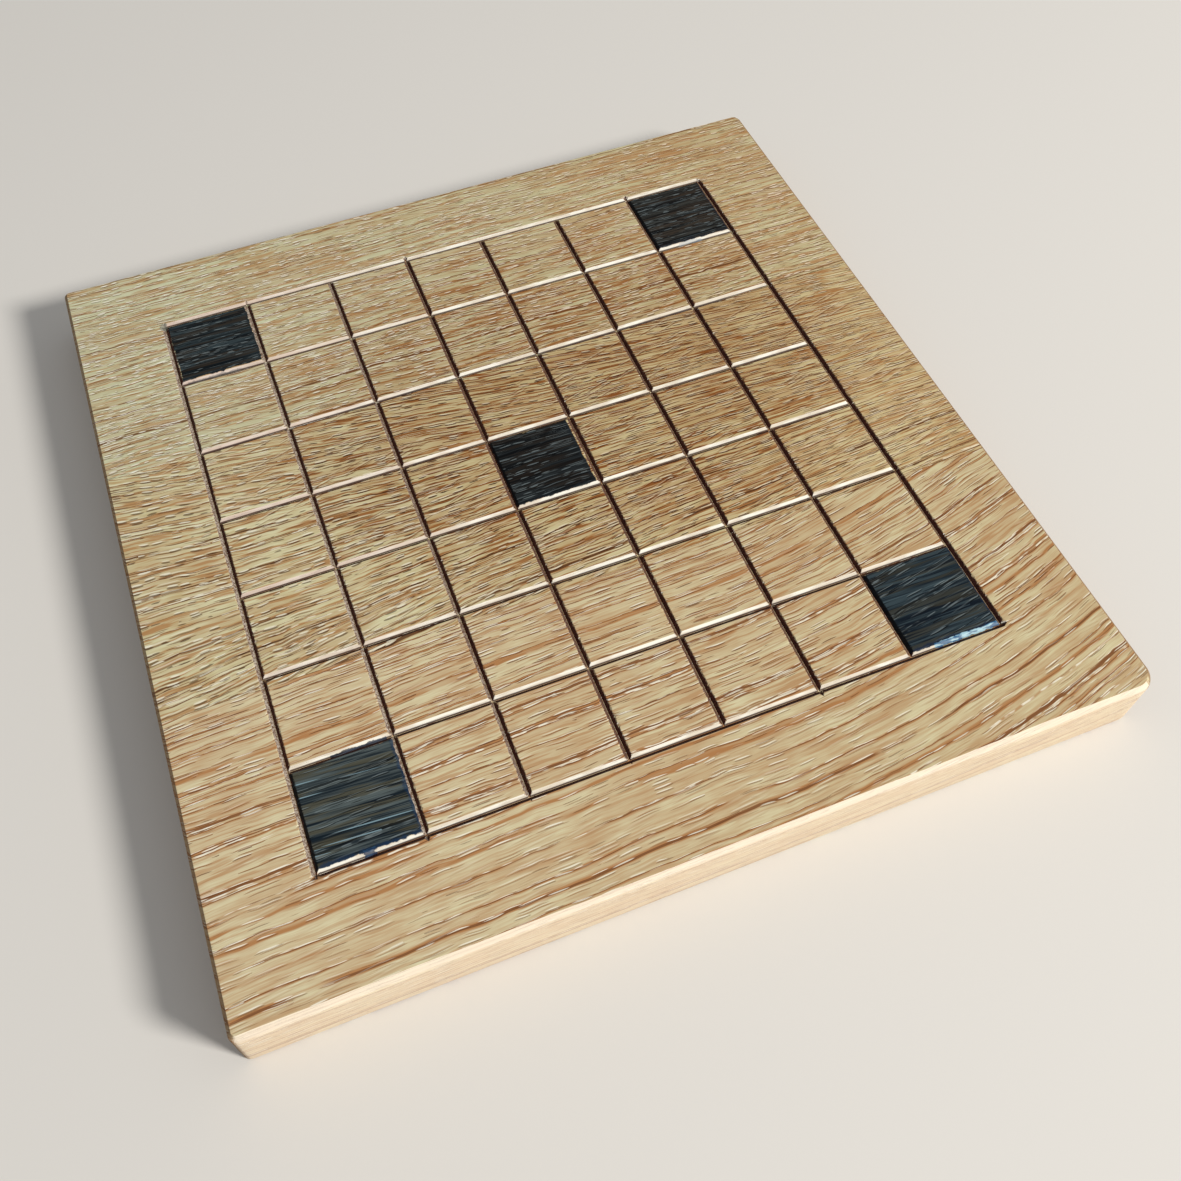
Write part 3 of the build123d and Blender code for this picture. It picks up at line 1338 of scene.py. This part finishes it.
@dataclass
class Board:
    """The whole board: three staves of oak and the two glue lines between them."""

    panel: Panel
    grid: Grid

    def near_finish(self) -> OakFinish:
        """The near stave: pale and warm, its grain rising towards the right."""
        tones = OakTones(srgb(219, 211, 173), srgb(198, 173, 134), srgb(178, 128, 82), srgb(150, 102, 62),
                         srgb(114, 70, 40), srgb(246, 241, 222))
        stains = (
            Stain(Square.NEAR_LEFT, srgb(10, 24, 34), srgb(84, 94, 94), srgb(76, 72, 54), share=0.34,
                  spread=(0.9, 0.6, 0.25, 0.2), ragged=0.65, lines=0.85, lean=0.07, fringe=srgb(20, 46, 76)),
            Stain(Square.NEAR_RIGHT, srgb(4, 16, 28), srgb(52, 66, 72), srgb(54, 52, 42), share=0.28,
                  spread=(1.0, 1.1, 0.3, 0.2), fringe=srgb(12, 32, 60)),
        )
        blue = (srgb(44, 98, 140), srgb(170, 208, 220))
        inks = (
            Ink(0, (0.44, 0.53), (-0.2, 1.6), srgb(24, 48, 78), srgb(42, 74, 106)),
            Ink(0, (6.28, 6.98), (0.15, 1.25), *blue),
            Ink(1, (0.42, 0.97), (-0.2, 0.5), srgb(22, 32, 48), srgb(54, 66, 84)),
        )
        return OakFinish("near_stave_oak", tones, middle_y=-91.0, seed=3.1, ring_width=9.0, ring_height=4.0,
                         ring_closing=0.0005, slope=0.03, sweep=0.0024, sweep_from=20.0, slant=0.12,
                         slant_strength=0.35, fibre=1.6, bloom=1.25, streak=0.55, deepened=0.6, seam=0.75,
                         hair=0.85, hairs=0.35, hair_length=13.0, lit_hair=0.4, pores=0.1, pore_length=8.0,
                         pore_width=0.95, pore_strength=0.8, calm=0.0, sheen_fade_tint=(0.91, 0.89, 0.84),
                         stains=stains, inks=inks)

    def middle_finish(self) -> OakFinish:
        """The middle stave: darker, with strong pores, its grain closing towards the right."""
        tones = OakTones(srgb(218, 215, 176), srgb(193, 177, 131), srgb(168, 112, 58), srgb(112, 66, 30),
                         srgb(70, 36, 14), srgb(238, 233, 210))
        stains = (Stain(Square.CENTRE, srgb(2, 4, 7), srgb(37, 42, 44), srgb(36, 28, 20), share=0.12,
                        spread=(0.8, -0.4, 0.15, 0.1)),)
        return OakFinish("middle_stave_oak", tones, middle_y=0.0, seed=9.7, ring_width=4.2, ring_height=7.0,
                         ring_closing=0.0006, fan=0.0025, fan_y=-4.0, worn=0.6, stains=stains)

    def far_finish(self) -> OakFinish:
        """The far stave: the palest and quietest, with short fine flecks."""
        tones = OakTones(srgb(208, 212, 178), srgb(188, 181, 141), srgb(176, 126, 74), srgb(132, 86, 44),
                         srgb(90, 52, 24), srgb(246, 244, 228))
        stains = (
            Stain(Square.FAR_LEFT, srgb(4, 12, 18), srgb(54, 66, 70), srgb(48, 38, 26), share=0.26,
                  spread=(0.2, 0.3, -0.1, 0.2), ragged=0.8),
            Stain(Square.FAR_RIGHT, srgb(10, 10, 11), srgb(56, 56, 52), srgb(54, 44, 34), share=0.28,
                  spread=(0.9, 0.4, 0.1, 0.1), fringe=srgb(14, 22, 36)),
        )
        inks = (
            Ink(6, (0.1, 0.7), (0.0, 0.6), srgb(52, 60, 66), srgb(110, 112, 112), 0.5),
            Ink(6, (6.3, 6.6), (0.1, 0.9), srgb(120, 134, 150), srgb(176, 180, 180), 0.6),
            Ink(7, (-0.03, 0.03), (-1.6, 1.2), srgb(96, 104, 96), srgb(130, 134, 122), 0.7),
        )
        return OakFinish("far_stave_oak", tones, middle_y=91.0, seed=17.3, ring_width=3.4, ring_height=8.0,
                         slant=-0.26, slant_strength=0.6, streak=0.9, hairs=0.45, hair_length=9.0,
                         pores=0.35, pore_length=4.0, pore_width=1.15, pore_strength=0.65,
                         sheen_fade_tint=(0.95, 0.83, 0.73), stains=stains, inks=inks)

    def build(self) -> Iterator[bpy.types.Object]:
        """Builds and dresses the five pieces, from the near side.

        Yields:
            Each finished piece.
        """
        top = self.panel.thickness - FACE_DOWN
        glue = GlueFinish().build()
        staves = (("near_oak", "near_stave", self.near_finish()),
                  ("middle_oak", "middle_stave", self.middle_finish()),
                  ("far_oak", "far_stave", self.far_finish()))
        for seed, (name, node, finish) in enumerate(staves, start=11):
            piece = PanelSlice(name, node, self.panel, self.grid, seed).build()
            piece.data.materials.append(finish.build(self.grid, top))
            yield piece
        for seed, node in enumerate(("near_glue_line", "far_glue_line"), start=14):
            name = node.replace("_line", "_film")
            piece = PanelSlice(name, node, self.panel, self.grid, seed, sunk=0.06).build()
            piece.data.materials.append(glue)
            yield piece


def main() -> None:
    """Builds the board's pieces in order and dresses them."""
    logging.basicConfig(level=logging.INFO, format="%(name)s: %(message)s")
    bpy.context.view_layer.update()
    Studio().build()
    panel, grid = Panel.from_frame(), Grid()
    board = Board(panel, grid)
    for piece in board.build():
        log.info("%s: %d faces", piece.name, len(piece.data.polygons))


if __name__ == "__main__":
    main()
